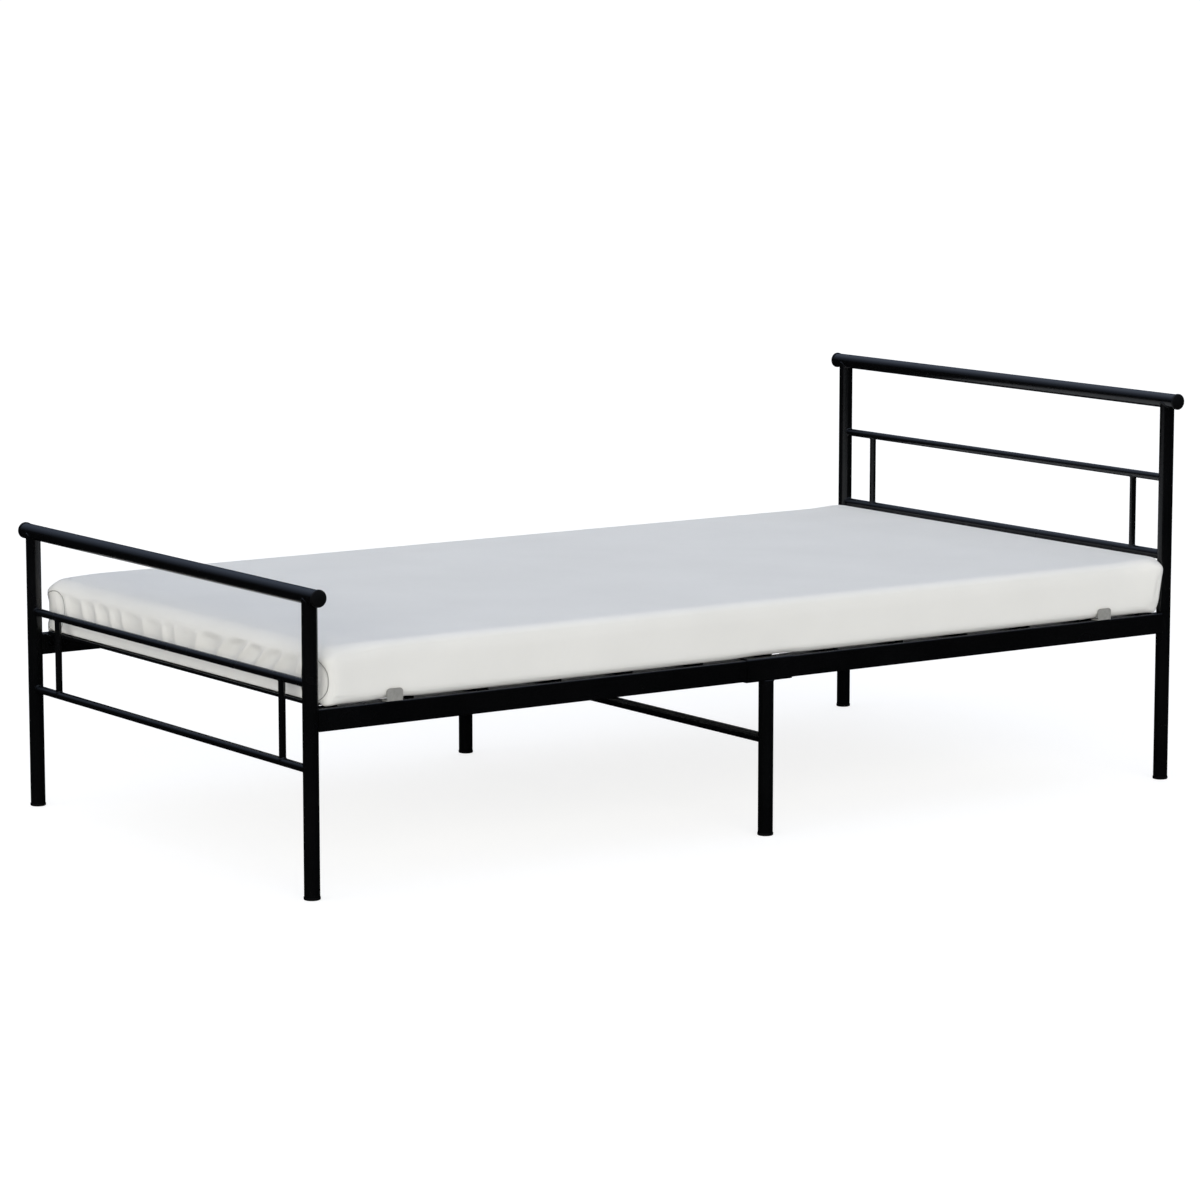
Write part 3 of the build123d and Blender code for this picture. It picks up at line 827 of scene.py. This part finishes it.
def seam_piece(name, tree, side, material):
    """Thin cord sewn round a corner patch. Its dark tone is painted shade of the seam's groove."""
    bm = bmesh.new()
    path = []
    for place, inward in patch_line(side, CORD_POINTS):
        hit, normal, _, _ = tree.ray_cast(place, inward)
        if hit is not None:
            path.append((hit, normal))
    rings = []
    for i, (point, normal) in enumerate(path):
        ahead = path[(i + 1) % len(path)][0]
        behind = path[i - 1][0]
        forward = (ahead - behind).normalized()
        across = forward.cross(normal).normalized()
        lift = across.cross(forward)
        radius = CORD_R * (1 + 0.12 * noise.noise(point / (9 * MM)))
        ring = []
        for k in range(CORD_SIDES):
            angle = 2 * math.pi * k / CORD_SIDES
            offset = across * math.cos(angle) + lift * math.sin(angle)
            ring.append(bm.verts.new(point + offset * radius))
        rings.append(ring)
    for i, ring in enumerate(rings):
        after = rings[(i + 1) % len(rings)]
        for k in range(CORD_SIDES):
            nearby = (k + 1) % CORD_SIDES
            bm.faces.new((ring[k], ring[nearby], after[nearby], after[k]))
    return mesh_object(name, bm, material)


def dress_mattress(cover, material):
    """Cord round the patch of each foot corner."""
    tree = BVHTree.FromPolygons(
        [v.co.copy() for v in cover.data.vertices],
        [tuple(p.vertices) for p in cover.data.polygons],
    )
    ways = {"left": -1, "right": 1}
    return [seam_piece(f"mattress_seam_{side}", tree, ways[side], material) for side in SIDES]


# ---- Stage ----
CAMERA_YAW = math.radians(55.305)
CAMERA_PITCH = math.radians(8.468)
CAMERA_DISTANCE = 8.3196
CAMERA_LENS = 129.554
AIM_RIGHT = -0.01577
AIM_HEIGHT = 0.3756


def add_camera():
    """Camera at the photograph's angle, level, with a long lens."""
    forward = Vector((
        -math.sin(CAMERA_YAW) * math.cos(CAMERA_PITCH),
        math.cos(CAMERA_YAW) * math.cos(CAMERA_PITCH),
        -math.sin(CAMERA_PITCH),
    ))
    right = Vector((math.cos(CAMERA_YAW), math.sin(CAMERA_YAW), 0))
    aim = right * AIM_RIGHT + Z * AIM_HEIGHT
    data = bpy.data.cameras.new("camera")
    data.lens = CAMERA_LENS
    data.sensor_width = 36
    data.clip_end = 200
    camera = bpy.data.objects.new("camera", data)
    camera.location = aim - forward * CAMERA_DISTANCE
    camera.rotation_euler = (math.pi / 2 - CAMERA_PITCH, 0, CAMERA_YAW)
    bpy.context.scene.collection.objects.link(camera)
    bpy.context.scene.camera = camera


def add_floor():
    """Large pale disc. What the camera sees of it is lifted to near white, as in a product picture."""
    bm = bmesh.new()
    bmesh.ops.create_circle(bm, cap_ends=True, radius=60, segments=96)
    bmesh.ops.translate(bm, verts=bm.verts, vec=(0, 0, -0.0005))
    material = bpy.data.materials.new("floor")
    material.use_nodes = True
    tree = material.node_tree
    shader = tree.nodes["Principled BSDF"]
    shader.inputs["Base Color"].default_value = (0.32, 0.32, 0.32, 1)
    shader.inputs["Roughness"].default_value = 0.9
    shader.inputs["Specular IOR Level"].default_value = 0.0
    path = add_node(tree, "ShaderNodeLightPath", {})
    dark = add_node(tree, "ShaderNodeBsdfDiffuse", {"Color": (0.01, 0.01, 0.01, 1)})
    pale = add_node(tree, "ShaderNodeBsdfDiffuse", {"Color": (0.62, 0.62, 0.61, 1)})
    bounced = {0: path.outputs["Is Diffuse Ray"], 1: shader.outputs[0], 2: pale.outputs[0]}
    lit = add_node(tree, "ShaderNodeMixShader", bounced)
    mirrored = {0: path.outputs["Is Glossy Ray"], 1: lit.outputs[0], 2: dark.outputs[0]}
    plain = add_node(tree, "ShaderNodeMixShader", mirrored)
    glow = add_node(tree, "ShaderNodeEmission", {"Color": (1, 1, 1, 1), "Strength": 0.80})
    none = add_node(tree, "ShaderNodeEmission", {"Strength": 0.0})
    seen = {0: path.outputs["Is Camera Ray"], 1: none.outputs[0], 2: glow.outputs[0]}
    lift = add_node(tree, "ShaderNodeMixShader", seen)
    both = add_node(tree, "ShaderNodeAddShader", {0: plain.outputs[0], 1: lift.outputs[0]})
    tree.links.new(both.outputs[0], tree.nodes["Material Output"].inputs["Surface"])
    floor = mesh_object("floor", bm, material, smooth=False)


def add_world():
    """Soft cool light from above that fades towards the horizon, and a white backdrop."""
    world = bpy.data.worlds.new("studio")
    world.use_nodes = True
    bpy.context.scene.world = world
    tree = world.node_tree
    tree.nodes.clear()
    place = add_node(tree, "ShaderNodeTexCoord", {}).outputs["Generated"]
    height = add_node(tree, "ShaderNodeSeparateXYZ", {"Vector": place}).outputs["Z"]
    ramp = add_node(tree, "ShaderNodeValToRGB", {"Fac": height})
    stops = ramp.color_ramp.elements
    stops[0].position = 0.12
    stops[0].color = (0.004, 0.004, 0.004, 1)
    stops[1].position = 0.95
    stops[1].color = (0.50, 0.58, 0.74, 1)
    middle_stop = stops.new(0.5)
    middle_stop.color = (0.11, 0.135, 0.19, 1)
    path = add_node(tree, "ShaderNodeLightPath", {})
    mirrored = path.outputs["Is Glossy Ray"]
    gain = add_node(tree, "ShaderNodeMapRange", {"Value": mirrored, "To Min": 1.0, "To Max": 2.1})
    sky = add_node(tree, "ShaderNodeBackground", {"Color": ramp.outputs["Color"]})
    tree.links.new(gain.outputs["Result"], sky.inputs["Strength"])
    white = add_node(tree, "ShaderNodeBackground", {"Color": (1, 1, 1, 1), "Strength": 1.05})
    seen = {0: path.outputs["Is Camera Ray"], 1: sky.outputs[0], 2: white.outputs[0]}
    mixed = add_node(tree, "ShaderNodeMixShader", seen)
    output = tree.nodes.new("ShaderNodeOutputWorld")
    tree.links.new(mixed.outputs[0], output.inputs["Surface"])


def add_sun(name, direction, strength, colour, angle):
    """Broad soft light from a direction, given as the way from the bed to the light. It isn't mirrored."""
    data = bpy.data.lights.new(name, "SUN")
    data.energy = strength
    data.color = colour
    data.angle = math.radians(angle)
    lamp = bpy.data.objects.new(name, data)
    lamp.rotation_euler = Vector(direction).to_track_quat("Z", "Y").to_euler()
    lamp.visible_glossy = False
    bpy.context.scene.collection.objects.link(lamp)


def add_lights():
    add_sun("key", (0.85, -0.35, 0.22), 2.88, (1.0, 0.965, 0.875), 60)
    add_sun("front", (0.06, -1.0, 0.08), 2.08, (1.0, 0.960, 0.870), 70)
    add_sun("top", (-0.1, 0.1, 1.0), 0.29, (0.95, 0.97, 1.0), 90)
    add_sun("back", (-0.8, 0.7, 0.35), 0.7, (1.0, 1.0, 1.0), 80)


# ---- The object ----
def dress_cad_nodes(materials):
    """Gives every CAD node the material of its slot, on its object's own material slots."""
    finish = {
        "glide": "black_plastic",
        "rail_cap": "black_plastic",
        "retainer_head": "retainer_grey",
        "retainer_foot": "retainer_grey",
        "rail_bolts": "fastener_steel",
        "slat_screws": "fastener_steel",
        "retainer_screws": "fastener_steel",
    }
    for name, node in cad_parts.items():
        slot = "black_powder_coat"
        for part, wanted in finish.items():
            if part in name:
                slot = wanted
        for place in node.material_slots:
            place.material = materials[slot]


def add_pieces(materials):
    coat = materials["black_powder_coat"]
    welds = [weld_board(end, coat) for end in ENDS] + [weld_centre(coat), weld_ledges(coat)]
    for piece in welds:
        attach(piece, "bed_frame")
    cover = mattress_piece(materials["mattress_fabric"])
    seams = dress_mattress(cover, materials["seam_cloth_painted_shade"])
    for piece in [cover] + seams:
        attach(piece, "mattress")
    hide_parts("mattress")


def main():
    bpy.context.scene.view_settings.view_transform = "Standard"
    materials = {
        "black_powder_coat": powder_coat(),
        "black_plastic": black_plastic(),
        "retainer_grey": retainer_grey(),
        "fastener_steel": fastener_steel(),
        "mattress_fabric": mattress_fabric("mattress_fabric", *FABRIC_TONES),
        # Seam cord cloth, darkened with painted shade of the seam's groove.
        "seam_cloth_painted_shade": mattress_fabric("seam_cloth_painted_shade", *SEAM_SHADE_TONES),
    }
    dress_cad_nodes(materials)
    add_pieces(materials)
    add_camera()
    add_floor()
    add_world()
    add_lights()


main()
